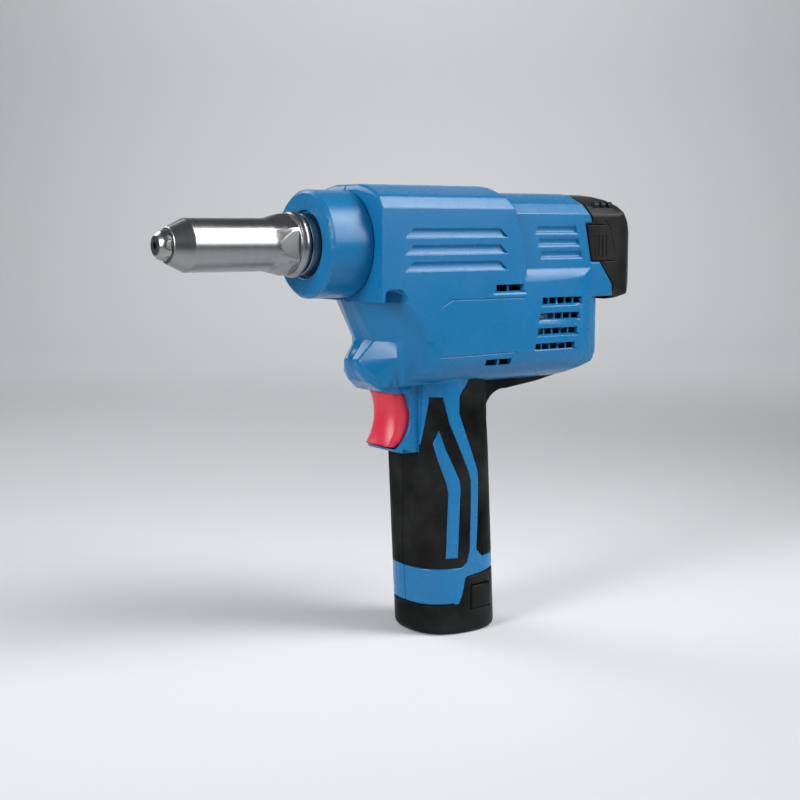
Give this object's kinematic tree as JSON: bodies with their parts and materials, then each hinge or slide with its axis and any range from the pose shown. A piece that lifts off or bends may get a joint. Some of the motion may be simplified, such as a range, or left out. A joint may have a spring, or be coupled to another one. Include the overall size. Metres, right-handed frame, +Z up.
{
  "type": "battery rivet tool",
  "caption": "Pistol-grip battery rivet tool: clamshell body, metal nose with a mandrel bore, pull screw drive, trigger, slide-in handle battery and removable collector cap.",
  "frame": {"origin": "centre of the nosepiece's front face, on the pull axis", "axes": "+X along the pull axis towards the rear, +Z up, -Y the tool's left side"},
  "size_m": [0.2582, 0.061, 0.2157],
  "materials": {
    "body_plastic": "satin moulded, fine even texture",
    "grip_rubber": "matt overmould, fine grain",
    "polished_alloy": "turned and polished",
    "polished_steel": "turned and polished",
    "hardened_steel": "ground",
    "cast_alloy": "die cast",
    "bronze": "turned",
    "winding_copper": "lacquered",
    "magnet_iron": "sintered",
    "inner_plastic": "moulded",
    "board_laminate": "lacquered",
    "trigger_plastic": "satin moulded",
    "base_plastic": "fine spark texture",
    "cap_plastic": "satin moulded",
    "cell_wrap": "shrink wrapped"
  },
  "bodies": {
    "frame": {"left_housing": "body_plastic", "right_housing": "body_plastic", "left_front_grip": "grip_rubber", "left_rear_grip": "grip_rubber", "right_front_grip": "grip_rubber", "right_rear_grip": "grip_rubber", "front_collar": "body_plastic", "nose_housing": "polished_alloy", "nosepiece": "polished_steel", "nut_front_bearing": "hardened_steel", "nut_rear_bearing": "hardened_steel", "gear_housing_front": "cast_alloy", "gear_housing_rear": "cast_alloy", "guide_sleeve": "hardened_steel", "rear_bulkhead": "inner_plastic", "pinion_bearing": "hardened_steel", "ring_gear": "hardened_steel", "motor_can": "hardened_steel", "motor_magnets": "magnet_iron", "motor_end_cap": "inner_plastic", "trigger_switch": "inner_plastic", "control_board": "board_laminate", "terminal_block": "bronze", "housing_screws": "hardened_steel"},
    "nut": {"ball_nut": "hardened_steel", "nut_gear": "hardened_steel"},
    "puller": {"jaw_case": "hardened_steel", "pull_screw": "hardened_steel", "guide_slider": "hardened_steel", "mandrel_tube": "hardened_steel", "jaw_spring": "hardened_steel"},
    "upper_jaw": {"jaw_1": "hardened_steel"},
    "left_jaw": {"jaw_2": "hardened_steel"},
    "right_jaw": {"jaw_3": "hardened_steel"},
    "pusher": {"jaw_pusher": "bronze"},
    "carrier": {"planet_carrier": "hardened_steel", "drive_pinion": "hardened_steel"},
    "upper_planet": {"planet_1": "hardened_steel"},
    "left_planet": {"planet_2": "hardened_steel"},
    "right_planet": {"planet_3": "hardened_steel"},
    "rotor": {"sun_gear": "hardened_steel", "rotor_shaft": "hardened_steel", "rotor_core": "winding_copper", "commutator": "winding_copper", "cooling_fan": "inner_plastic"},
    "trigger": {"trigger": "trigger_plastic", "switch_plunger": "inner_plastic"},
    "battery": {"battery_tower": "base_plastic", "battery_base": "base_plastic", "battery_cells": "cell_wrap"},
    "left_button": {"left_battery_button": "base_plastic"},
    "right_button": {"right_battery_button": "base_plastic"},
    "cap": {"collector_cap": "cap_plastic"},
    "left_latch": {"left_cap_latch": "cap_plastic"},
    "right_latch": {"right_cap_latch": "cap_plastic"}
  },
  "joints": [
    {"name": "nut_spin", "type": "hinge", "parent": "frame", "child": "nut", "pos_m": [0.124, 0, 0], "axis": [1, 0, 0], "range_deg": [0, 1800]},
    {"name": "pull_stroke", "type": "slide", "parent": "frame", "child": "puller", "axis": [1, 0, 0], "range_m": [0, 0.02]},
    {"name": "carrier_spin", "type": "hinge", "parent": "frame", "child": "carrier", "pos_m": [0.124, 0, -0.03875], "axis": [1, 0, 0], "range_deg": [-1689.5, 2]},
    {"name": "rotor_spin", "type": "hinge", "parent": "frame", "child": "rotor", "pos_m": [0.1424, 0, -0.03875], "axis": [1, 0, 0], "range_deg": [-6754, 4]},
    {"name": "upper_planet_spin", "type": "hinge", "parent": "carrier", "child": "upper_planet", "pos_m": [0.1504, 0, -0.02795], "axis": [1, 0, 0], "range_deg": [-4, 5066.5]},
    {"name": "left_planet_spin", "type": "hinge", "parent": "carrier", "child": "left_planet", "pos_m": [0.1504, -0.00935, -0.04415], "axis": [1, 0, 0], "range_deg": [-4, 5066.5]},
    {"name": "right_planet_spin", "type": "hinge", "parent": "carrier", "child": "right_planet", "pos_m": [0.1504, 0.00935, -0.04415], "axis": [1, 0, 0], "range_deg": [-4, 5066.5]},
    {"name": "upper_jaw_grip", "type": "slide", "parent": "puller", "child": "upper_jaw", "axis": [-0.9901, 0, -0.1403], "range_m": [0, 0.0012]},
    {"name": "left_jaw_grip", "type": "slide", "parent": "puller", "child": "left_jaw", "axis": [-0.9901, 0.1215, 0.0701], "range_m": [0, 0.0012]},
    {"name": "right_jaw_grip", "type": "slide", "parent": "puller", "child": "right_jaw", "axis": [-0.9901, -0.1215, 0.0701], "range_m": [0, 0.0012]},
    {"name": "pusher_follow", "type": "slide", "parent": "puller", "child": "pusher", "axis": [-1, 0, 0], "range_m": [0, 0.0012], "deforming": ["jaw_spring"]},
    {"name": "trigger_pull", "type": "slide", "parent": "frame", "child": "trigger", "axis": [1, 0, 0], "range_m": [0, 0.006], "stiffness_N_per_m": 400, "springref_m": -0.006},
    {"name": "battery_slide", "type": "slide", "parent": "frame", "child": "battery", "axis": [0.0471, 0, -0.9989], "range_m": [0, 0.085]},
    {"name": "left_button_press", "type": "slide", "parent": "battery", "child": "left_button", "axis": [0, 1, 0], "range_m": [0, 0.0015], "stiffness_N_per_m": 900, "springref_m": -0.002},
    {"name": "right_button_press", "type": "slide", "parent": "battery", "child": "right_button", "axis": [0, -1, 0], "range_m": [0, 0.0015], "stiffness_N_per_m": 900, "springref_m": -0.002},
    {"name": "cap_pull", "type": "slide", "parent": "frame", "child": "cap", "axis": [1, 0, 0], "range_m": [0, 0.05]},
    {"name": "left_latch_rock", "type": "hinge", "parent": "cap", "child": "left_latch", "pos_m": [0.23334, -0.027, 0], "axis": [0, 0, 1], "range_deg": [0, 5], "stiffness_Nm_per_rad": 0.4, "springref_deg": -5.73},
    {"name": "right_latch_rock", "type": "hinge", "parent": "cap", "child": "right_latch", "pos_m": [0.23334, 0.027, 0], "axis": [0, 0, -1], "range_deg": [0, 5], "stiffness_Nm_per_rad": 0.4, "springref_deg": -5.73}
  ],
  "couplings": [
    {"joint": "pull_stroke", "follows": "nut_spin", "m_per_rad": 0.00063662},
    {"joint": "carrier_spin", "follows": "nut_spin", "ratio": -0.9375},
    {"joint": "rotor_spin", "follows": "nut_spin", "ratio": -3.75},
    {"joint": "upper_planet_spin", "follows": "nut_spin", "ratio": 2.8125},
    {"joint": "left_planet_spin", "follows": "nut_spin", "ratio": 2.8125},
    {"joint": "right_planet_spin", "follows": "nut_spin", "ratio": 2.8125},
    {"joint": "upper_jaw_grip", "follows": "nut_spin", "m_per_rad": 0.000038197},
    {"joint": "left_jaw_grip", "follows": "nut_spin", "m_per_rad": 0.000038197},
    {"joint": "right_jaw_grip", "follows": "nut_spin", "m_per_rad": 0.000038197},
    {"joint": "pusher_follow", "follows": "nut_spin", "m_per_rad": 0.000037815}
  ]
}
